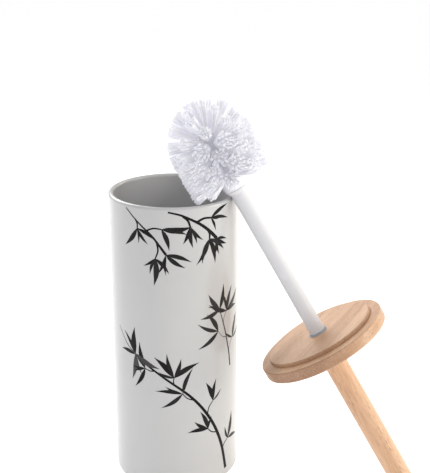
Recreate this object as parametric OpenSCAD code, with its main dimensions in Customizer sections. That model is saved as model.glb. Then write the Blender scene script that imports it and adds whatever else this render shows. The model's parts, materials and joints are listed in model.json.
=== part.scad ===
// Ceramic toilet brush holder with its wooden-lidded brush leaning across the rim.
// Origin: centre of the holder's underside on the floor. +Z up, +X towards the brush handle.

/* [Holder] */
// Outside diameter of the holder
holder_d = 100; // [84:1:130]
// Height of the holder
holder_h = 235; // [190:1:290]
// Thickness of the side wall
wall_t = 4; // [3:0.1:6]
// Thickness of the floor
floor_t = 6; // [4:0.1:9]
// Rounding of the outside bottom edge
base_round = 2.5; // [1:0.1:3.5]
// Rounding of the inside bottom edge
inside_round = 5; // [2:0.1:10]

/* [Lid] */
// Thickness of the part of the lid that rests on the rim
lid_t = 9.2; // [6:0.1:14]
// How far the lid stands out past the holder, all round
lid_overhang = 1; // [0:0.1:3]
// Height of the centring step under the lid
step_h = 3; // [2:0.1:6]
// Gap between the centring step and the inside of the holder
step_gap = 3; // [1:0.1:5]
// Rounding of the lid's edges
lid_round = 1.2; // [0.4:0.1:3]

/* [Handle] */
// Diameter of the handle
handle_d = 18; // [15:0.1:24]
// Length of the handle from the lid's top face
handle_l = 136.5; // [110:0.5:165]
// Rounding of the handle's free end
handle_round = 3; // [1:0.1:5]

/* [Stem] */
// Diameter of the plastic stem
stem_d = 12.4; // [10.5:0.1:15]
// Diameter of the stem's flared end, at the parting line
flare_d = 17.2; // [16:0.1:20]
// Length of the flare
flare_l = 3.6; // [2:0.1:4.5]
// Diameter of the washer under the stem's foot
washer_d = 14.6; // [13:0.1:18]
// Thickness of the washer under the stem's foot
washer_t = 1; // [0.6:0.1:2]

/* [Brush head] */
// Diameter across the bristles
bristle_d = 66; // [60:0.5:70]
// Diameter of the head's core
core_d = 20; // [18.5:0.1:22]
// Diameter of the head's collar at the parting line
collar_d = 17.8; // [16:0.1:18.5]
// Length of the collar, from the parting line to the full core
collar_l = 7; // [5:0.1:9]
// Distance from the parting line to the first ring of tufts
first_ring = 11; // [10.5:0.1:14]
// Distance between rings of tufts
ring_pitch = 9; // [8.6:0.1:11]
// Number of straight rings of tufts
straight_rings = 4; // [3:1:5]
// Tufts in each straight ring
ring_tufts = 10; // [8:1:10]
// Diameter of a tuft where it leaves the core
tuft_d = 2.5; // [2:0.1:2.8]
// Diameter of a tuft at its tip
fan_d = 12.2; // [8:0.1:12.4]
// Gap between the brush's tip and the holder's floor when it is stored
tip_gap = 26; // [15:1:40]

/* [Fasteners] */
// Diameter of the stud that joins the stem to the handle
stud_d = 6; // [5:0.1:6.5]
// How far the stud reaches into the stem
stud_in_stem = 20; // [12:1:30]
// Outside diameter of the threaded insert in the handle
insert_d = 9; // [8:0.1:10]
// Length of the threaded insert
insert_l = 18; // [12:1:25]
// Diameter of the threaded spigot that the head screws on to
spigot_d = 10; // [8:0.1:10.4]
// Length of the spigot
spigot_l = 12; // [8:0.5:14]

/* [Resting place] */
// Distance along the stem from the rim to the head's parting line
rest_back = 8.2; // [7.4:0.1:20]
// How far the stem crosses the rim to the side of the holder's middle
side_offset = 11.6; // [0:0.1:20]

/* [Hidden] */
$fn = 96;

// radial clearance of a thread or a tuft in its hole, and of the stem over the rim
thread_gap = 0.05;
rest_gap = 0.3;
// gap that shows as the parting line between stem and head
parting_gap = 0.25;
// spare depth at the bottom of a blind hole
hole_spare = 1;
// how far a cut runs past the face that it opens
cut = 1;
edge_round = 0.5;

holder_r = holder_d / 2;
inside_r = holder_r - wall_t;
rim_round = wall_t / 2;
lid_r = holder_r + lid_overhang;
step_r = inside_r - step_gap;
handle_r = handle_d / 2;
stem_r = stem_d / 2;
core_r = core_d / 2;
bristle_r = bristle_d / 2;

// distance from the last straight ring of tufts to the centre of the head's dome
dome_gap = 1;

// distances along the brush, measured from the lid's seat towards the head
dome_s = first_ring + (straight_rings - 1) * ring_pitch + dome_gap;
parting_s = holder_h - floor_t - tip_gap - bristle_r - dome_s;
foot_s = step_h + washer_t;
rim_s = parting_s - rest_back;
collar_s = parting_s + parting_gap;
dome_centre_s = parting_s + dome_s;

// the lean for which the handle's end stands on the floor and the stem crosses the rim
function end_height(a) = (handle_r - handle_round) * sin(a) + handle_round * (1 - cos(a));
function lean_for(a, tries) =
    tries == 0 ? a : lean_for(acos((holder_h - end_height(a)) / (rim_s + lid_t + handle_l)), tries - 1);
lean = lean_for(30, 12);

// where round the rim the stem touches, seen along the stem, as an angle from +X
rim_centre_r = holder_r - rim_round;
touch_r = stem_r + rim_round + rest_gap;
function touch_side(a) = cos(lean) * sin(a) / norm([cos(a), cos(lean) * sin(a)]);
function touch_angle(a, tries) =
    tries == 0 ? a : touch_angle(asin(-(side_offset + touch_r * touch_side(a)) / rim_centre_r), tries - 1);
touch_a = touch_angle(0, 20);
touch_out = sqrt(1 - pow(touch_side(touch_a), 2));
rim_x = rim_centre_r * cos(touch_a) + (touch_r * touch_out - rim_round * sin(lean)) / cos(lean);

// tuft holes: the one at the tip is shallower, and hole_end is the bottom's distance from the middle
hole_depth = 3;
centre_hole_depth = 2;
hole_end = core_r - hole_depth;
centre_hole_end = core_r - centre_hole_depth;

anchor_h = 1;
anchor_t = 0.4;
anchor_w = 2;

// a tuft fans out from its hole, and its cut tip is bevelled
tip_bevel_h = 1;
tip_bevel_in = 1.5;
fan_slope = (fan_d - tuft_d) / 2 / (bristle_r - tip_bevel_h - core_r);

// every second ring is turned by half a tuft
half_turn = 180 / ring_tufts;
// tip rings: angle from the brush's axis, number of tufts
tip_rings = [[70, 10], [47, 7], [24, 4]];

// places a piece that is drawn along +Z, with the lid's seat at zero, where the brush leans
module on_brush() {
    translate([rim_x + rim_s * sin(lean), -side_offset, holder_h - rim_s * cos(lean)])
        rotate([0, -lean, 0])
            children();
}

// a turned piece whose bottom and top edges may be rounded
module turned(r, h, round_low, round_high) {
    rotate_extrude() {
        translate([0, round_low])
            square([r, h - round_low - round_high]);
        if (round_low > 0) {
            square([r - round_low, round_low]);
            edge_disc(r - round_low, round_low, round_low);
        }
        if (round_high > 0) {
            translate([0, h - round_high])
                square([r - round_high, round_high]);
            edge_disc(r - round_high, h - round_high, round_high);
        }
    }
}

module edge_disc(x, y, r) {
    translate([x, y])
        circle(r);
}

module at(s) {
    translate([0, 0, s])
        children();
}

module holder_body() {
    color("ghostwhite")
        rotate_extrude() {
            square([holder_r - base_round, floor_t]);
            translate([0, base_round])
                square([holder_r, floor_t - base_round]);
            edge_disc(holder_r - base_round, base_round, base_round);
            translate([inside_r, base_round])
                square([wall_t, holder_h - base_round - rim_round]);
            edge_disc(rim_centre_r, holder_h - rim_round, rim_round);
            difference() {
                translate([inside_r - inside_round, floor_t])
                    square(inside_round);
                edge_disc(inside_r - inside_round, floor_t + inside_round, inside_round);
            }
        }
}

module lid() {
    color("burlywood")
        on_brush()
            difference() {
                union() {
                    at(-lid_t)
                        turned(lid_r, lid_t, lid_round, lid_round);
                    at(-lid_round)
                        turned(step_r, lid_round + step_h, 0, edge_round);
                }
                at(-lid_t - cut)
                    cylinder(r = stud_d / 2 + thread_gap, h = lid_t + step_h + 2 * cut);
            }
}

module handle() {
    color("burlywood")
        on_brush()
            at(-lid_t - handle_l)
                difference() {
                    turned(handle_r, handle_l, handle_round, 0);
                    at(handle_l - insert_l - hole_spare)
                        cylinder(r = insert_d / 2 + thread_gap, h = insert_l + hole_spare + cut);
                }
}

module handle_insert() {
    color("goldenrod")
        on_brush()
            at(-lid_t - insert_l)
                difference() {
                    cylinder(d = insert_d, h = insert_l);
                    at(-cut)
                        cylinder(r = stud_d / 2 + thread_gap, h = insert_l + 2 * cut);
                }
}

module stud() {
    color("silver")
        on_brush()
            at(-lid_t - insert_l)
                cylinder(d = stud_d, h = insert_l + lid_t + foot_s + stud_in_stem);
}

module stem() {
    color("white")
        on_brush()
            difference() {
                union() {
                    at(foot_s)
                        turned(stem_r, parting_s - flare_l - foot_s, edge_round, 0);
                    at(parting_s - flare_l)
                        cylinder(r1 = stem_r, d2 = flare_d, h = flare_l - edge_round);
                    at(parting_s - edge_round)
                        cylinder(d = flare_d, h = edge_round);
                    at(parting_s)
                        cylinder(d = spigot_d, h = spigot_l);
                }
                at(foot_s - cut)
                    cylinder(r = stud_d / 2 + thread_gap, h = stud_in_stem + hole_spare + cut);
            }
}

module stem_washer() {
    color("lightsteelblue")
        on_brush()
            at(step_h)
                difference() {
                    cylinder(d = washer_d, h = washer_t);
                    at(-cut)
                        cylinder(r = stud_d / 2 + thread_gap, h = washer_t + 2 * cut);
                }
}

// runs its child once for each tuft of straight ring number n, with +Z out along the tuft
module each_in_ring(n) {
    at(parting_s + first_ring + (n - 1) * ring_pitch)
        for (i = [0 : ring_tufts - 1])
            rotate([0, 90, (n + 1) % 2 * half_turn + i * 360 / ring_tufts])
                children();
}

// the same for tip ring number n, 0 outermost
module each_in_tip_ring(n) {
    at(dome_centre_s)
        for (i = [0 : tip_rings[n][1] - 1])
            rotate([0, tip_rings[n][0], (n + straight_rings) % 2 * half_turn + i * 360 / tip_rings[n][1]])
                children();
}

module tuft_hole(bottom) {
    at(bottom)
        cylinder(r = tuft_d / 2 + thread_gap, h = core_r);
}

module tuft(bottom) {
    fan_h = bristle_r - tip_bevel_h - bottom - anchor_h;
    at(bottom + anchor_h)
        cylinder(d1 = fan_d - 2 * fan_slope * fan_h, d2 = fan_d, h = fan_h);
    at(bristle_r - tip_bevel_h)
        cylinder(d1 = fan_d, d2 = fan_d - 2 * tip_bevel_in, h = tip_bevel_h);
}

module anchor(bottom) {
    translate([-anchor_w / 2, -anchor_t / 2, bottom])
        cube([anchor_w, anchor_t, anchor_h]);
}

module head_core() {
    color("white")
        on_brush()
            difference() {
                union() {
                    at(collar_s)
                        cylinder(d1 = collar_d, d2 = core_d, h = collar_l);
                    at(collar_s + collar_l)
                        cylinder(r = core_r, h = dome_centre_s - collar_s - collar_l);
                    at(dome_centre_s)
                        sphere(core_r);
                }
                at(parting_s)
                    cylinder(r = spigot_d / 2 + thread_gap, h = spigot_l + hole_spare);
                for (n = [1 : straight_rings])
                    each_in_ring(n)
                        tuft_hole(hole_end);
                for (n = [0 : len(tip_rings) - 1])
                    each_in_tip_ring(n)
                        tuft_hole(hole_end);
                at(dome_centre_s)
                    tuft_hole(centre_hole_end);
            }
}

module tuft_ring(n) {
    color("lavender")
        on_brush()
            each_in_ring(n)
                tuft(hole_end);
}

module tip_tufts(n) {
    color("lavender")
        on_brush()
            each_in_tip_ring(n)
                tuft(hole_end);
}

module tip_tuft_centre() {
    color("lavender")
        on_brush()
            at(dome_centre_s)
                tuft(centre_hole_end);
}

module tuft_anchors() {
    color("silver")
        on_brush() {
            for (n = [1 : straight_rings])
                each_in_ring(n)
                    anchor(hole_end);
            for (n = [0 : len(tip_rings) - 1])
                each_in_tip_ring(n)
                    anchor(hole_end);
            at(dome_centre_s)
                anchor(centre_hole_end);
        }
}

holder_body();
lid();
handle();
handle_insert();
stud();
stem();
stem_washer();
head_core();
tuft_ring(1);  // tuft_ring_1
tuft_ring(2);  // tuft_ring_2
tuft_ring(3);  // tuft_ring_3
tuft_ring(4);  // tuft_ring_4
tip_tufts(0);  // tip_tufts_outer
tip_tufts(1);  // tip_tufts_middle
tip_tufts(2);  // tip_tufts_inner
tip_tuft_centre();
tuft_anchors();
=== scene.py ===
import json
import math
import random

import bmesh
import bpy
from mathutils import Matrix, Vector


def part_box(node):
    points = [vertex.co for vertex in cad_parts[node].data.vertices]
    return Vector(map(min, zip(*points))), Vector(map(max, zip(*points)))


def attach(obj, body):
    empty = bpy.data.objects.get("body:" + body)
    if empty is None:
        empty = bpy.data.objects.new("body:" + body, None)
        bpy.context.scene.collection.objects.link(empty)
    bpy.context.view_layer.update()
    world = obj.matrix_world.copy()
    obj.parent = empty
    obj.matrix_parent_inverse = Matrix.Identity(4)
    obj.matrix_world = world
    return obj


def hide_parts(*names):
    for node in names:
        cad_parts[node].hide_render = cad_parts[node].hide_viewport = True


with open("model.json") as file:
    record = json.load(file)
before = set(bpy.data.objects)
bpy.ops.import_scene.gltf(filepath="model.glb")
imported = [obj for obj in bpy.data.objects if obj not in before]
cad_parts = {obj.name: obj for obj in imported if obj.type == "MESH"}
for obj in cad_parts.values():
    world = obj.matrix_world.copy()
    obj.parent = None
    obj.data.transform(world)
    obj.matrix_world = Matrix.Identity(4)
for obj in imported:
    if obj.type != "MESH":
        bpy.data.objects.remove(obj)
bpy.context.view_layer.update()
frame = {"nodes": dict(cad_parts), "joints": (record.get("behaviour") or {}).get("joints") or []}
nodes = frame["nodes"]
scene = bpy.context.scene
scene.view_settings.view_transform = "Standard"
mm = 0.001

# the brush's own axes: parting line at zero, +Z towards the bristles, +X up across the lean
screw = next(joint for joint in frame["joints"] if joint["name"] == "head_unscrew")
brushAxis = Vector(screw["axis"]).normalized()
partingPoint = Vector(screw["pos_m"])
sideways = Vector((0, 1, 0))
across = sideways.cross(brushAxis).normalized()
brushPlace = Matrix((across, sideways, brushAxis)).transposed().to_4x4()
brushPlace.translation = partingPoint

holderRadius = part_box("holder_body")[1][0]
lidLow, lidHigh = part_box("lid")
lidRadius = (lidHigh[1] - lidLow[1]) / 2


# camera, floor and lights

view = {
    "place": (179.9 * mm, -675.3 * mm, 434.8 * mm),
    "turn": 12.3,
    "down": 18.83,
    "lens": 71.9,
    "sensor": 36,
    "nearest": 10 * mm,
}

studio = {
    "floorSize": 30,
    "floorColor": (0.9, 0.9, 0.9, 1),
    "floorRoughness": 0.7,
    "floorGlow": 0.44,
    "airColor": (1, 1, 1, 1),
    "air": 0.66,
}

# place, point aimed at, width, height, power, colour
softboxes = {
    "backLeftHigh": ((-0.65, 0.65, 0.85), (0.05, 0, 0.15), 0.6, 0.6, 7.5, (1, 1, 1)),
    "backLeft": ((-0.75, 0.2, 0.6), (0, 0, 0.15), 0.5, 0.8, 0.8, (0.95, 0.95, 1)),
    "lowRight": ((1.0, -0.04, 0.47), (0, 0, 0.17), 0.4, 0.6, 4.7, (1, 0.98, 0.88)),
    "backRight": ((0.6, 0.75, 0.6), (0, 0, 0.15), 0.4, 0.8, 3.4, (1, 0.9, 0.72)),
    "front": ((0.3, -1.2, 1.0), (0.05, 0, 0.15), 1.0, 0.8, 1.8, (1, 1, 1)),
}


def addCamera():
    data = bpy.data.cameras.new("camera")
    data.lens = view["lens"]
    data.sensor_width = view["sensor"]
    data.clip_start = view["nearest"]
    camera = bpy.data.objects.new("camera", data)
    scene.collection.objects.link(camera)
    camera.location = view["place"]
    camera.rotation_euler = (
        math.radians(90 - view["down"]), 0, math.radians(view["turn"]),
    )
    scene.camera = camera


def addSoftbox(name, place, target, width, height, power, color):
    data = bpy.data.lights.new(name, "AREA")
    data.shape = "RECTANGLE"
    data.size = width
    data.size_y = height
    data.energy = power
    data.color = color
    light = bpy.data.objects.new(name, data)
    scene.collection.objects.link(light)
    light.location = place
    aim = Vector(target) - Vector(place)
    light.rotation_euler = aim.to_track_quat("-Z", "Y").to_euler()


def meshPiece(name, bm):
    mesh = bpy.data.meshes.new(name)
    bm.to_mesh(mesh)
    bm.free()
    piece = bpy.data.objects.new(name, mesh)
    scene.collection.objects.link(piece)
    return piece


def addFloor():
    bm = bmesh.new()
    bmesh.ops.create_grid(bm, x_segments=1, y_segments=1, size=studio["floorSize"] / 2)
    floor = meshPiece("studioFloor", bm)
    floor.data.materials.append(floorMaterial())


def addAir():
    world = bpy.data.worlds.new("studioAir")
    world.use_nodes = True
    background = world.node_tree.nodes["Background"]
    background.inputs["Color"].default_value = studio["airColor"]
    background.inputs["Strength"].default_value = studio["air"]
    scene.world = world


# materials

def startMaterial(name):
    material = bpy.data.materials.new(name)
    material.use_nodes = True
    tree = material.node_tree
    tree.nodes.clear()
    output = tree.nodes.new("ShaderNodeOutputMaterial")
    shader = tree.nodes.new("ShaderNodeBsdfPrincipled")
    tree.links.new(shader.outputs["BSDF"], output.inputs["Surface"])
    return material, tree, shader


def floorMaterial():
    material, tree, shader = startMaterial("studioFloor")
    shader.inputs["Base Color"].default_value = studio["floorColor"]
    shader.inputs["Roughness"].default_value = studio["floorRoughness"]
    shader.inputs["Emission Color"].default_value = studio["floorColor"]
    shader.inputs["Emission Strength"].default_value = studio["floorGlow"]
    return material


def startGroup(name, inputs, outputs):
    tree = bpy.data.node_groups.new(name, "ShaderNodeTree")
    for label, kind, value in inputs:
        socket = tree.interface.new_socket(label, in_out="INPUT", socket_type=kind)
        if value is not None:
            socket.default_value = value
    for label, kind in outputs:
        tree.interface.new_socket(label, in_out="OUTPUT", socket_type=kind)
    return tree, tree.nodes.new("NodeGroupInput"), tree.nodes.new("NodeGroupOutput")


# each input is a value, or another node's output that is linked to it
def setInputs(tree, node, inputs):
    for key, value in inputs.items():
        if isinstance(value, bpy.types.NodeSocket):
            tree.links.new(value, node.inputs[key])
        else:
            node.inputs[key].default_value = value


def addNode(tree, kind, inputs=None, **settings):
    node = tree.nodes.new(kind)
    for key, value in settings.items():
        setattr(node, key, value)
    setInputs(tree, node, inputs or {})
    return node


def addMath(tree, operation, first, second=0.0, clamp=False):
    node = addNode(
        tree, "ShaderNodeMath", {0: first, 1: second}, operation=operation, use_clamp=clamp,
    )
    return node.outputs[0]


# the node's colour sockets are inputs 6 and 7 and output 2
def addMix(tree, factor, first, second):
    node = addNode(
        tree, "ShaderNodeMix", {0: factor, 6: first, 7: second}, data_type="RGBA",
    )
    return node.outputs[2]


def addRange(tree, value, low, high, toLow=0.0, toHigh=1.0):
    node = addNode(
        tree, "ShaderNodeMapRange",
        {"Value": value, "From Min": low, "From Max": high, "To Min": toLow, "To Max": toHigh},
    )
    return node.outputs["Result"]


def addNoise(tree, vector, scale, detail=2.0, distortion=0.0):
    node = addNode(
        tree, "ShaderNodeTexNoise",
        {"Vector": vector, "Scale": scale, "Detail": detail, "Distortion": distortion},
    )
    return node.outputs["Fac"]


mottled = {
    "cloudDetail": 3.0,
    "speckleDetail": 1.0,
    "contrast": (0.3, 1.0),
}


# soft large mottling with fine speckle over it, for glaze, plastic, metal and ink
def buildMottling():
    tree, given, result = startGroup(
        "mottling",
        [("Vector", "NodeSocketVector", None),
         ("Cloud Scale", "NodeSocketFloat", 30.0),
         ("Speckle Scale", "NodeSocketFloat", 900.0),
         ("Speckle Share", "NodeSocketFloat", 0.3)],
        [("Fac", "NodeSocketFloat"), ("Height", "NodeSocketFloat")],
    )
    vector = given.outputs["Vector"]
    cloud = addNoise(tree, vector, given.outputs["Cloud Scale"], mottled["cloudDetail"])
    speckle = addNoise(tree, vector, given.outputs["Speckle Scale"], mottled["speckleDetail"])
    speckled = addMath(tree, "MULTIPLY", speckle, given.outputs["Speckle Share"])
    total = addMath(tree, "ADD", cloud, speckled)
    tree.links.new(addRange(tree, total, *mottled["contrast"]), result.inputs["Fac"])
    tree.links.new(total, result.inputs["Height"])
    return tree


# how the grain is drawn: scales across it, and its length along Z as a squeeze
grainLines = {
    "squeeze": (1, 1, 0.09),
    "bandDetail": 4.0,
    "bandWave": 0.6,
    "streakScale": 900.0,
    "streakDetail": 3.0,
    "poreSqueeze": (1, 1, 0.12),
    "poreScale": 1100.0,
    "poreEdge": (0.32, 0.12),
    "scatterScale": 260.0,
    "scatterEdge": (0.45, 0.62),
    "bandShare": 0.65,
    "streakShare": 0.35,
    "contrast": (0.39, 0.62),
    "roughness": (0.3, 0.7, 0.5, 0.64),  # tone from and to, roughness from and to
    "streakHeight": 0.4,
}


# sawn light hardwood with its grain along Z: broad bands, fine streaks and short open pores
def buildWoodGrain():
    tree, given, result = startGroup(
        "woodGrain",
        [("Vector", "NodeSocketVector", None),
         ("Pale", "NodeSocketColor", (0.8, 0.6, 0.4, 1)),
         ("Deep", "NodeSocketColor", (0.6, 0.4, 0.25, 1)),
         ("Pore", "NodeSocketColor", (0.3, 0.17, 0.1, 1)),
         ("Band Scale", "NodeSocketFloat", 60.0),
         ("Pore Amount", "NodeSocketFloat", 0.5)],
        [("Color", "NodeSocketColor"),
         ("Roughness", "NodeSocketFloat"),
         ("Height", "NodeSocketFloat")],
    )
    vector = given.outputs["Vector"]
    longWays = addNode(
        tree, "ShaderNodeMapping", {"Vector": vector, "Scale": grainLines["squeeze"]},
    ).outputs[0]
    poreWays = addNode(
        tree, "ShaderNodeMapping", {"Vector": vector, "Scale": grainLines["poreSqueeze"]},
    ).outputs[0]
    bands = addNoise(
        tree, longWays, given.outputs["Band Scale"],
        grainLines["bandDetail"], grainLines["bandWave"],
    )
    streaks = addNoise(tree, longWays, grainLines["streakScale"], grainLines["streakDetail"])
    pores = addNode(
        tree, "ShaderNodeTexVoronoi", {"Vector": poreWays, "Scale": grainLines["poreScale"]},
    ).outputs["Distance"]
    scatter = addNoise(tree, longWays, grainLines["scatterScale"])
    poreSpots = addRange(tree, pores, *grainLines["poreEdge"])
    poreMask = addMath(
        tree, "MULTIPLY", poreSpots, addRange(tree, scatter, *grainLines["scatterEdge"]),
    )
    poreShown = addMath(tree, "MULTIPLY", poreMask, given.outputs["Pore Amount"], clamp=True)
    bandTone = addMath(tree, "MULTIPLY", bands, grainLines["bandShare"])
    streakTone = addMath(tree, "MULTIPLY", streaks, grainLines["streakShare"])
    tone = addMath(tree, "ADD", bandTone, streakTone)
    depth = addRange(tree, tone, *grainLines["contrast"])
    plain = addMix(tree, depth, given.outputs["Pale"], given.outputs["Deep"])
    shown = addMix(tree, poreShown, plain, given.outputs["Pore"])
    tree.links.new(shown, result.inputs["Color"])
    tree.links.new(
        addRange(tree, tone, *grainLines["roughness"]), result.inputs["Roughness"],
    )
    raised = addMath(tree, "MULTIPLY", streaks, grainLines["streakHeight"])
    tree.links.new(addMath(tree, "SUBTRACT", raised, poreMask), result.inputs["Height"])
    return tree


def useGroup(tree, group, inputs):
    return addNode(tree, "ShaderNodeGroup", inputs, node_tree=group)


# mottling on Object coordinates: cloud scale, speckle scale and the speckle's share
def useMottling(tree, mottling, vector, values):
    labels = ("Cloud Scale", "Speckle Scale", "Speckle Share")
    return useGroup(tree, mottling, {"Vector": vector, **dict(zip(labels, values))})


def objectVector(tree):
    return tree.nodes.new("ShaderNodeTexCoord").outputs["Object"]


def addBump(tree, shader, height, strength, distance):
    bump = addNode(
        tree, "ShaderNodeBump", {"Height": height, "Strength": strength, "Distance": distance},
    )
    tree.links.new(bump.outputs["Normal"], shader.inputs["Normal"])


glaze = {
    # painted shade: color and warm make the white glaze this grey, for the dim light on its walls
    "color": (0.495, 0.495, 0.5, 1),
    "warm": (0.47, 0.465, 0.465, 1),
    "mottling": (18.0, 700.0, 0.2),
    "bare": (0.55, 0.5, 0.44, 1),  # the unglazed ring at the foot
    "bareHeight": 1.4 * mm,
    "bareEdge": 0.8,  # share of that height where the glaze begins
    "bareRoughness": 0.8,
    "roughness": 0.28,
    "coat": 0.3,
    "coatRoughness": 0.07,
    "bump": (0.12, 0.4 * mm),  # strength and depth
}


def glazeMaterial(mottling):
    material, tree, shader = startMaterial("whiteGlaze")
    vector = objectVector(tree)
    cloudy = useMottling(tree, mottling, vector, glaze["mottling"])
    height = addNode(tree, "ShaderNodeSeparateXYZ", {0: vector}).outputs["Z"]
    glazed = addRange(tree, height, glaze["bareHeight"] * glaze["bareEdge"], glaze["bareHeight"])
    shown = addMix(tree, cloudy.outputs["Fac"], glaze["color"], glaze["warm"])
    roughness = addRange(tree, glazed, 0.0, 1.0, glaze["bareRoughness"], glaze["roughness"])
    coat = addMath(tree, "MULTIPLY", glazed, glaze["coat"])
    tree.links.new(addMix(tree, glazed, glaze["bare"], shown), shader.inputs["Base Color"])
    tree.links.new(roughness, shader.inputs["Roughness"])
    tree.links.new(coat, shader.inputs["Coat Weight"])
    shader.inputs["Coat Roughness"].default_value = glaze["coatRoughness"]
    addBump(tree, shader, cloudy.outputs["Height"], *glaze["bump"])
    return material


# mottled base colour, roughness and bump, for plastic, washer and metal
def finishPlain(tree, shader, mottling, color, shade, facts):
    fine = useMottling(tree, mottling, objectVector(tree), facts["mottling"])
    shown = addMix(tree, fine.outputs["Fac"], color, shade)
    roughness = addRange(tree, fine.outputs["Fac"], 0.0, 1.0, *facts["roughness"])
    tree.links.new(shown, shader.inputs["Base Color"])
    tree.links.new(roughness, shader.inputs["Roughness"])
    addBump(tree, shader, fine.outputs["Height"], *facts["bump"])


plastic = {
    "stem": (0.67, 0.67, 0.7, 1),
    "stemShade": (0.63, 0.63, 0.66, 1),
    # painted light: the core is the stem's white plastic made lighter, to lift the shade between
    # the tufts
    "core": (0.78, 0.78, 0.83, 1),
    "coreShade": (0.72, 0.72, 0.78, 1),
    "mottling": (60.0, 2400.0, 0.5),
    "roughness": (0.34, 0.44),
    "softness": 0.1,
    "softDepth": 2 * mm,
    "bump": (0.1, 0.05 * mm),
}


def plasticMaterial(name, color, shade, mottling):
    material, tree, shader = startMaterial(name)
    finishPlain(tree, shader, mottling, color, shade, plastic)
    shader.inputs["Subsurface Weight"].default_value = plastic["softness"]
    shader.inputs["Subsurface Radius"].default_value = (plastic["softDepth"],) * 3
    return material


washer = {
    "color": (0.4, 0.45, 0.52, 1),
    "shade": (0.31, 0.35, 0.41, 1),
    "mottling": (200.0, 2600.0, 0.5),
    "roughness": (0.45, 0.6),
    "bump": (0.15, 0.05 * mm),
}


def washerMaterial(mottling):
    material, tree, shader = startMaterial("greyWasher")
    finishPlain(tree, shader, mottling, washer["color"], washer["shade"], washer)
    return material


metal = {
    "steel": (0.55, 0.56, 0.58),
    "brass": (0.72, 0.52, 0.22),
    "dull": 0.8,
    "mottling": (300.0, 4000.0, 0.6),
    "roughness": (0.3, 0.45),
    "bump": (0.1, 0.03 * mm),
}


def metalMaterial(name, color, mottling):
    material, tree, shader = startMaterial(name)
    dull = tuple(part * metal["dull"] for part in color)
    finishPlain(tree, shader, mottling, (*color, 1), (*dull, 1), metal)
    shader.inputs["Metallic"].default_value = 1.0
    return material


wood = {
    "pale": (0.7, 0.44, 0.27, 1),
    "deep": (0.52, 0.295, 0.165, 1),
    "pore": (0.24, 0.115, 0.055, 1),
    "end": (0.27, 0.13, 0.065, 1),  # the ends of the grain, and the painted shade round the step
    "lidGrainTurn": 65,
    "stepInset": 8 * mm,  # how far the step's edge lies inside the lid's
    "edgeBand": 0.5 * mm,
    "edgeShade": (0.2, 0.95, 0.15, 1.0),  # facing from and to, shade from and to
    "stepShade": 0.75,
    # partly end grain, partly painted shade: a dark ring round the step's edge
    "speckleScale": 1500.0,
    "speckle": (0.3, 0.6, 0.45, 1.0),
    "coat": 0.5,
    "coatRoughness": 0.35,
    "bump": (0.35, 0.12 * mm),
    "lid": {"bandScale": 70.0, "poreAmount": 1.0},
    "handle": {"bandScale": 90.0, "poreAmount": 1.2},
}


# how much of the lid's turned edges shows end grain, where its axis is X and the grain runs along
# Z; the dark ring round the step is partly end grain and partly painted shade
def addEndGrainAndStepShade(tree, vector):
    spot = addNode(tree, "ShaderNodeSeparateXYZ", {0: vector})
    sideSquare = addMath(tree, "MULTIPLY", spot.outputs["Y"], spot.outputs["Y"])
    alongSquare = addMath(tree, "MULTIPLY", spot.outputs["Z"], spot.outputs["Z"])
    reach = addMath(tree, "SQRT", addMath(tree, "ADD", sideSquare, alongSquare))
    facing = addMath(tree, "DIVIDE", addMath(tree, "ABSOLUTE", spot.outputs["Z"]), reach)
    edges = [
        addNode(
            tree, "ShaderNodeMath", {0: reach, 1: radius, 2: wood["edgeBand"]}, operation="COMPARE",
        ).outputs[0]
        for radius in (lidRadius, lidRadius - wood["stepInset"])
    ]
    onRim = addMath(tree, "MULTIPLY", edges[0], addRange(tree, facing, *wood["edgeShade"]))
    # partly end grain, partly painted shade: a dark ring all round the step's edge
    onStep = addMath(tree, "MULTIPLY", edges[1], wood["stepShade"])
    return addMath(tree, "MAXIMUM", onRim, onStep)


# grainPlace is the frame whose +Z runs along the grain
def woodMaterial(name, grainPlace, facts, woodGrain, turnedEdges=False):
    material, tree, shader = startMaterial(name)
    turned = addNode(
        tree, "ShaderNodeMapping",
        {"Vector": objectVector(tree),
         "Rotation": grainPlace.to_3x3().inverted().to_euler(),
         "Location": grainPlace.inverted().translation},
    ).outputs[0]
    grain = useGroup(
        tree, woodGrain,
        {"Vector": turned, "Pale": wood["pale"], "Deep": wood["deep"], "Pore": wood["pore"],
         "Band Scale": facts["bandScale"], "Pore Amount": facts["poreAmount"]},
    )
    shown = grain.outputs["Color"]
    if turnedEdges:
        speckle = addNoise(tree, turned, wood["speckleScale"])
        # end grain on the rim, and the painted shade round the step
        endGrainAndShade = addMath(
            tree, "MULTIPLY", addEndGrainAndStepShade(tree, turned), addRange(tree, speckle, *wood["speckle"]),
        )
        shown = addMix(tree, endGrainAndShade, shown, wood["end"])
    tree.links.new(shown, shader.inputs["Base Color"])
    tree.links.new(grain.outputs["Roughness"], shader.inputs["Roughness"])
    shader.inputs["Coat Weight"].default_value = wood["coat"]
    shader.inputs["Coat Roughness"].default_value = wood["coatRoughness"]
    addBump(tree, shader, grain.outputs["Height"], *wood["bump"])
    return material


bristle = {
    "light": (0.98, 0.98, 0.99, 1),
    "shade": (0.74, 0.74, 0.84, 1),
    "waveScale": 260.0,
    "waveShade": (0.25, 0.75, 0.5, 1.0),
    "roughness": (0.3, 0.7, 0.35, 0.5),
    # painted light: the bristles glow faintly in their light colour, standing in for light
    # scattered through them and lifting their shade
    "glow": 0.095,
    "softness": 0.6,
    "softDepth": 1.5 * mm,
}


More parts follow.
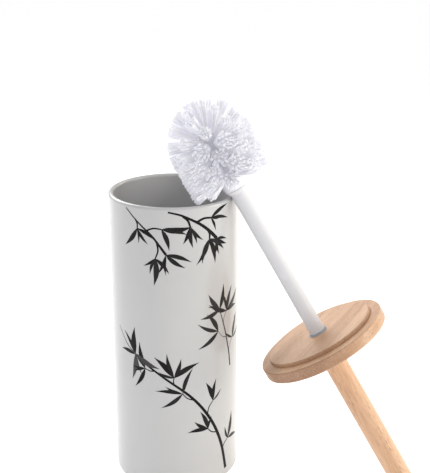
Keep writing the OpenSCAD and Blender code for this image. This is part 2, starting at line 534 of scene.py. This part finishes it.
def bristleMaterial():
    material, tree, shader = startMaterial("whiteBristle")
    wave = addNoise(tree, objectVector(tree), bristle["waveScale"])
    strand = addNode(
        tree, "ShaderNodeAttribute", attribute_name="strandTone",
    ).outputs["Fac"]
    shade = addMath(tree, "MULTIPLY", strand, addRange(tree, wave, *bristle["waveShade"]))
    shown = addMix(tree, shade, bristle["light"], bristle["shade"])
    tree.links.new(shown, shader.inputs["Base Color"])
    tree.links.new(addRange(tree, wave, *bristle["roughness"]), shader.inputs["Roughness"])
    # painted light: the faint glow of the bristles
    shader.inputs["Emission Color"].default_value = bristle["light"]
    shader.inputs["Emission Strength"].default_value = bristle["glow"]
    shader.inputs["Subsurface Weight"].default_value = bristle["softness"]
    shader.inputs["Subsurface Radius"].default_value = (bristle["softDepth"],) * 3
    return material


ink = {
    "black": (0.004, 0.004, 0.005, 1),
    "grey": (0.2, 0.195, 0.19, 1),
    "streaks": (3, 14, 1),  # along the stroke, across it
    "dryEdge": (0.52, 0.8),
    "dry": 0.3,
    "mottling": (120.0, 1500.0, 0.3),
    "roughness": (0.18, 0.3),
    "gloss": 0.08,
}


def inkMaterial(mottling):
    material, tree, shader = startMaterial("blackInk")
    tone = addNode(
        tree, "ShaderNodeAttribute", attribute_name="inkTone",
    ).outputs["Fac"]
    along = tree.nodes.new("ShaderNodeUVMap").outputs[0]
    streakWays = addNode(
        tree, "ShaderNodeMapping", {"Vector": along, "Scale": ink["streaks"]},
    ).outputs[0]
    streak = addNoise(tree, streakWays, 1.0)
    dry = addMath(tree, "MULTIPLY", addRange(tree, streak, *ink["dryEdge"]), ink["dry"])
    faded = addMath(tree, "ADD", tone, dry, clamp=True)
    fine = useMottling(tree, mottling, objectVector(tree), ink["mottling"])
    roughness = addRange(tree, fine.outputs["Fac"], 0.0, 1.0, *ink["roughness"])
    shown = addMix(tree, faded, ink["black"], ink["grey"])
    tree.links.new(shown, shader.inputs["Base Color"])
    tree.links.new(roughness, shader.inputs["Roughness"])
    shader.inputs["Specular IOR Level"].default_value = ink["gloss"]
    return material


def setMaterial(nodeName, material):
    mesh = nodes[nodeName].data
    mesh.materials.clear()
    mesh.materials.append(material)


# bristles

head = {
    "firstRing": 11 * mm,
    "ringPitch": 9 * mm,
    "straightRings": 4,
    "ringTufts": 10,
    "domeStep": 1 * mm,  # the tip's centre lies this far past the last straight ring
    "rootRadius": 7.8 * mm,  # where a tuft starts, inside its hole
    "tipRadius": 33 * mm,
}

# tip ring node: angle from the brush's axis, tufts, turn of the first
tipRings = {
    "tip_tufts_outer": (70, 10, 0),
    "tip_tufts_middle": (47, 7, 18),
    "tip_tufts_inner": (24, 4, 0),
    "tip_tuft_centre": (0, 1, 0),
}

tuft = {
    "filaments": 210,
    "filamentSides": 3,
    "filamentRadius": 0.22 * mm,
    "rootSpread": 1.05 * mm,
    "spreads": {"ring": 7.1 * mm, "tip": 4.8 * mm},
    "fanBend": 0.85,  # below 1, filaments open out early
    "joints": 4,
    "crimp": 0.4 * mm,
    "clumps": 18,
    "clumpWobble": 0.4,
    "filamentWobble": 0.3,
    "clumping": 0.4,  # share of the way that filaments lean to the middle of their clump
    "spreadRange": (0.92, 1.08),
    "strays": 0.05,
    "strayReach": (1.05, 1.5),
    "roundTop": 0.6,  # 1 would put every tip on one ball, 0 on one flat face
    "unevenTip": 1.5 * mm,
    "clumpUneven": 0.6,
    "filamentUneven": 0.5,
    "filamentRange": (-1, 0.2),
    "kinds": 4,
    "seed": 5,
}

goldenAngle = math.pi * (3 - math.sqrt(5))


# one bristle: a thin rod that is drawn from root to tip in a few bent lengths
def addFilament(bm, root, tip, tone, dice):
    toneLayer = bm.verts.layers.float["strandTone"]
    made = bmesh.ops.create_circle(
        bm, cap_ends=True, segments=tuft["filamentSides"], radius=tuft["filamentRadius"],
        matrix=Matrix.Translation(root),
    )
    for vert in made["verts"]:
        vert[toneLayer] = tone
    last = [made["verts"][0].link_faces[0]]
    before = root
    bend = Vector((dice.uniform(-1, 1), dice.uniform(-1, 1), 0)) * tuft["crimp"]
    for step in range(1, tuft["joints"] + 1):
        share = step / tuft["joints"]
        opening = share ** tuft["fanBend"]
        here = Vector((
            root.x + (tip.x - root.x) * opening,
            root.y + (tip.y - root.y) * opening,
            root.z + (tip.z - root.z) * share,
        ))
        here += bend * math.sin(math.pi * share)
        grown = bmesh.ops.extrude_face_region(bm, geom=last, use_keep_orig=step == 1)
        verts = [item for item in grown["geom"] if isinstance(item, bmesh.types.BMVert)]
        bmesh.ops.translate(bm, verts=verts, vec=here - before)
        last = [item for item in grown["geom"] if isinstance(item, bmesh.types.BMFace)]
        before = here


# one of count places, spread evenly over a disc of radius 1
def discPlace(index, count, wobble):
    turn = index * goldenAngle + wobble
    return Vector((math.cos(turn), math.sin(turn), 0)) * math.sqrt((index + 0.5) / count)


def buildTuft(seed, spread):
    dice = random.Random(seed)
    whole = bpy.data.meshes.new(f"tuftKind{seed}")
    bm = bmesh.new()
    bm.verts.layers.float.new("strandTone")
    wobble = tuft["clumpWobble"]
    clumps = [
        discPlace(index, tuft["clumps"], dice.uniform(-wobble, wobble))
        for index in range(tuft["clumps"])
    ]
    lengths = [dice.uniform(-1, 0) * tuft["unevenTip"] for clump in clumps]
    wobble = tuft["filamentWobble"]
    for index in range(tuft["filaments"]):
        place = discPlace(index, tuft["filaments"], dice.uniform(-wobble, wobble))
        nearest = min(range(len(clumps)), key=lambda number: (clumps[number] - place).length)
        leaned = place.lerp(clumps[nearest], tuft["clumping"])
        offset = leaned * spread * dice.uniform(*tuft["spreadRange"])
        if dice.random() < tuft["strays"]:
            offset *= dice.uniform(*tuft["strayReach"])
        rounding = tuft["roundTop"] * offset.length_squared
        length = math.sqrt(head["tipRadius"] ** 2 - rounding)
        length += lengths[nearest] * tuft["clumpUneven"]
        length += dice.uniform(*tuft["filamentRange"]) * tuft["unevenTip"] * tuft["filamentUneven"]
        root = place * tuft["rootSpread"] + Vector((0, 0, head["rootRadius"]))
        addFilament(bm, root, offset + Vector((0, 0, length)), dice.random(), dice)
    bm.to_mesh(whole)
    bm.free()
    return whole


# one piece of bristles: a copy of a tuft at each place, turned about its own length
def bristlePiece(name, nodeName, places, kinds, material, dice):
    bm = bmesh.new()
    bm.verts.layers.float.new("strandTone")
    for place in places:
        have = len(bm.verts)
        bm.from_mesh(dice.choice(kinds))
        bm.verts.ensure_lookup_table()
        spin = Matrix.Rotation(dice.uniform(0, 2 * math.pi), 4, "Z")
        bmesh.ops.transform(bm, matrix=brushPlace @ place @ spin, verts=bm.verts[have:])
    piece = meshPiece(name, bm)
    piece.data.materials.append(material)
    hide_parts(nodeName)
    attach(piece, "head")


def addBristles(material):
    dice = random.Random(tuft["seed"])
    kinds = {
        where: [buildTuft(seed, spread) for seed in range(tuft["kinds"])]
        for where, spread in tuft["spreads"].items()
    }
    turnStep = 2 * math.pi / head["ringTufts"]
    outwards = Matrix.Rotation(math.pi / 2, 4, "Y")
    for ring in range(head["straightRings"]):
        level = Matrix.Translation((0, 0, head["firstRing"] + ring * head["ringPitch"]))
        offset = ring % 2 * 0.5  # every other ring sits between the tufts of the last
        places = [
            level @ Matrix.Rotation((offset + index) * turnStep, 4, "Z") @ outwards
            for index in range(head["ringTufts"])
        ]
        name = f"bristleRing{ring + 1}"
        bristlePiece(name, f"tuft_ring_{ring + 1}", places, kinds["ring"], material, dice)
    lastRing = head["firstRing"] + (head["straightRings"] - 1) * head["ringPitch"]
    level = Matrix.Translation((0, 0, lastRing + head["domeStep"]))
    for nodeName, (tilt, count, turn) in tipRings.items():
        tilted = Matrix.Rotation(math.radians(tilt), 4, "Y")
        places = [
            level @ Matrix.Rotation(math.radians(turn + index * 360 / count), 4, "Z") @ tilted
            for index in range(count)
        ]
        name = "bristle" + "".join(word.title() for word in nodeName.split("_"))
        bristlePiece(name, nodeName, places, kinds["tip"], material, dice)


# bamboo print, fired on to the glaze: sprays that are grown by rule on the unrolled wall

printing = {
    "skin": 0.06 * mm,  # how far the ink stands out of the wall
    "sunk": 0.06 * mm,
    "layerStep": 0.004 * mm,  # strokes that cross lie at different depths
    "layers": 5,
    "ahead": 0.01,  # share of a stroke that its direction is taken over
    "acrossParts": 2,
    "leafParts": 12,
    "twigPart": 2 * mm,
    "twigParts": 4,  # at least
    "top": 233 * mm,
    "foot": 6 * mm,
    "seed": 23,
}

# how leaves and side twigs grow: degrees, mm, and a leaf's width as a share of its length
growth = {
    "joints": 5,
    "wobble": 7,
    "sideTurn": (28, 58),
    "sideLength": (6, 13),
    "sideBend": 0.12,
    "sideWidths": (0.7, 0.5),  # shares of the main twig's width at its tip
    "fan": (-66, -30, 4, 34, 70),
    "fanWobble": 12,
    "leafLength": (10, 23),
    "leafShare": (0.14, 0.22),
    "leafBend": 0.06,
    "leafPoint": 0.12,
    "leafFullness": (0.8, 1.2),  # below 1 is widest early; above 1 has thinner ends
    "paleLeaf": 0.07,
    "skipLeaf": 0.25,
}

# start in degrees round the wall and mm up, heading and whole bend in degrees, length and end
# widths in mm, number of side twigs, how far leaves hang down (0 to 1), and tone (0 is black)
sprays = {
    "fallingLeft": ((-119, 232), -42, -26, 46, (0.7, 2.0), 3, 0.3, 0.0),
    "fallingRight": ((-80, 232), -12, -34, 46, (1.2, 2.8), 3, 0.32, 0.0),
    "risingStalk": ((-24, 8), 96, 44, 138, (3.0, 1.4), 6, 0.0, 0.0),
    "slenderStalk": ((-17, 98), 97, 8, 54, (1.6, 0.6), 3, 0.05, 0.1),
    "looseTwig": ((-134, 134), -66, 40, 26, (0.3, 0.8), 0, 0.3, 0.25),
}

# each copy of the sprays: degrees round the wall, and 1 or -1 for its hand
printCopies = {"Front": (0, 1), "Back": (70, -1)}


# a strip along a route on the unrolled wall (x round it, y up), wrapped on to the wall
def addStroke(bm, parts, route, widthAt, tone, layer, hand):
    toneLayer = bm.verts.layers.float["inkTone"]
    out = holderRadius + printing["skin"] + layer % printing["layers"] * printing["layerStep"]
    strip = bmesh.ops.create_grid(
        bm, x_segments=parts, y_segments=printing["acrossParts"], size=1, calc_uvs=True,
    )
    for vert in strip["verts"]:
        share = (vert.co.x + 1) / 2
        spot = route(share)
        ahead = route(share + printing["ahead"]) - route(share - printing["ahead"])
        aside = Vector((-ahead.y, ahead.x)).normalized()
        spot += aside * vert.co.y * widthAt(share) / 2
        turn = spot.x * hand / holderRadius
        vert.co = (out * math.cos(turn), out * math.sin(turn), spot.y)
        vert[toneLayer] = tone


# a step on the unrolled wall, from degrees and mm
def wallStep(heading, length):
    turn = math.radians(heading)
    return Vector((math.cos(turn), math.sin(turn))) * length * mm


# a smooth stroke through the given places
def addTwig(bm, places, widths, tone, layer, hand):
    length = sum((after - before).length for before, after in zip(places, places[1:]))

    def route(share):
        inside = min(max(share, 0), 1)
        place = inside * (len(places) - 1)
        first = min(int(place), len(places) - 2)
        part = place - first
        before = places[max(first - 1, 0)]
        after = places[min(first + 2, len(places) - 1)]
        start, end = places[first], places[first + 1]
        bendIn = (end - before) / 2
        bendOut = (after - start) / 2
        square = part ** 2
        cube = part ** 3
        keepStart = 2 * cube - 3 * square + 1
        spot = start * keepStart + end * (1 - keepStart)
        spot += bendIn * (cube - 2 * square + part) + bendOut * (cube - square)
        return spot + (share - inside) * (end - start)

    def widthAt(share):
        return (widths[0] + (widths[1] - widths[0]) * share) * mm

    parts = max(printing["twigParts"], round(length / printing["twigPart"]))
    addStroke(bm, parts, route, widthAt, tone, layer, hand)


def addLeaf(bm, foot, heading, length, width, tone, layer, hand):
    along = wallStep(heading, length)
    aside = Vector((-along.y, along.x)) * growth["leafBend"] * (-1 if layer % 2 else 1)

    def route(share):
        return foot + along * share + aside * math.sin(math.pi * share)

    def widthAt(share):
        inside = min(max(share, 0.0), 1.0)
        widest, ends = growth["leafFullness"]
        fullness = math.sin(math.pi * inside ** widest) ** ends
        return (growth["leafPoint"] + fullness * (width - growth["leafPoint"])) * mm

    addStroke(bm, printing["leafParts"], route, widthAt, tone, layer, hand)


def onWall(place):
    return printing["foot"] < place.y < printing["top"]


# a fan of leaves at the end of a twig, which hang down as far as droop says
def addLeaves(bm, foot, heading, droop, tone, dice, hand):
    for layer, spread in enumerate(growth["fan"]):
        leafHeading = heading + spread + dice.uniform(-1, 1) * growth["fanWobble"]
        leafHeading += ((-90 - leafHeading + 180) % 360 - 180) * droop
        length = dice.uniform(*growth["leafLength"])
        width = length * dice.uniform(*growth["leafShare"])
        shade = tone + dice.uniform(0, growth["paleLeaf"])
        tip = foot + wallStep(leafHeading, length)
        if dice.random() > growth["skipLeaf"] and onWall(tip):
            addLeaf(bm, foot, leafHeading, length, width, shade, layer, hand)


# a bent twig with a fan of leaves at its end and at the end of each side twig
def addSpray(bm, start, heading, bend, length, widths, sides, droop, tone, dice, hand):
    place = Vector((math.radians(start[0]) * holderRadius, start[1] * mm))
    places = [place]
    headings = [heading]
    for joint in range(growth["joints"]):
        heading += bend / growth["joints"] + dice.uniform(-1, 1) * growth["wobble"]
        place = place + wallStep(heading, length / growth["joints"])
        places.append(place)
        headings.append(heading)
    addTwig(bm, places, widths, tone, 0, hand)
    addLeaves(bm, places[-1], headings[-1], droop, tone, dice, hand)
    for side in range(sides):
        share = (side + 1) / (sides + 1) * growth["joints"]
        first = int(share)
        foot = places[first].lerp(places[min(first + 1, growth["joints"])], share - first)
        sideHeading = headings[first] + dice.uniform(*growth["sideTurn"]) * (1 if side % 2 else -1)
        tip = foot + wallStep(sideHeading, dice.uniform(*growth["sideLength"]))
        if onWall(tip):
            along = tip - foot
            middle = foot.lerp(tip, 0.5) + Vector((-along.y, along.x)) * growth["sideBend"]
            ends = [widths[1] * part for part in growth["sideWidths"]]
            addTwig(bm, [foot, middle, tip], ends, tone, 1 + side, hand)
            addLeaves(bm, tip, sideHeading, droop, tone, dice, hand)


def addPrint(material):
    dice = random.Random(printing["seed"])
    for copy, (turn, hand) in printCopies.items():
        for name, spray in sprays.items():
            bm = bmesh.new()
            bm.verts.layers.float.new("inkTone")
            bm.loops.layers.uv.new("alongStroke")
            addSpray(bm, *spray, dice, hand)
            turned = Matrix.Rotation(math.radians(turn), 3, "Z")
            bmesh.ops.rotate(bm, verts=bm.verts[:], matrix=turned)
            if hand < 0:
                bmesh.ops.reverse_faces(bm, faces=bm.faces[:])
            piece = meshPiece(f"print{copy}{name[0].upper()}{name[1:]}", bm)
            piece.data.materials.append(material)
            shell = piece.modifiers.new("inkThickness", "SOLIDIFY")
            shell.thickness = printing["skin"] + printing["sunk"]
            shell.offset = -1
            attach(piece, "holder")


addCamera()
addFloor()
for name, facts in softboxes.items():
    addSoftbox(name, *facts)
addAir()
print("camera, floor and lights placed")

mottling = buildMottling()
woodGrain = buildWoodGrain()
setMaterial("holder_body", glazeMaterial(mottling))
stemPlastic = plasticMaterial("stemPlastic", plastic["stem"], plastic["stemShade"], mottling)
# painted light: the core's lighter plastic lifts the shade between the tufts
corePlastic = plasticMaterial("corePlastic", plastic["core"], plastic["coreShade"], mottling)
setMaterial("stem", stemPlastic)
setMaterial("head_core", corePlastic)
setMaterial("stem_washer", washerMaterial(mottling))
steel = metalMaterial("brushedSteel", metal["steel"], mottling)
setMaterial("stud", steel)
setMaterial("tuft_anchors", steel)
setMaterial("handle_insert", metalMaterial("brass", metal["brass"], mottling))
lidTurn = Matrix.Rotation(math.radians(wood["lidGrainTurn"]), 4, "Z")
lidPlace = brushPlace @ lidTurn @ Matrix.Rotation(math.pi / 2, 4, "Y")
setMaterial("lid", woodMaterial("lidWood", lidPlace, wood["lid"], woodGrain, True))
setMaterial("handle", woodMaterial("handleWood", brushPlace, wood["handle"], woodGrain))
print("materials set on the carried-over nodes")

addBristles(bristleMaterial())
print("bristles made")

addPrint(inkMaterial(mottling))
print("bamboo print made")
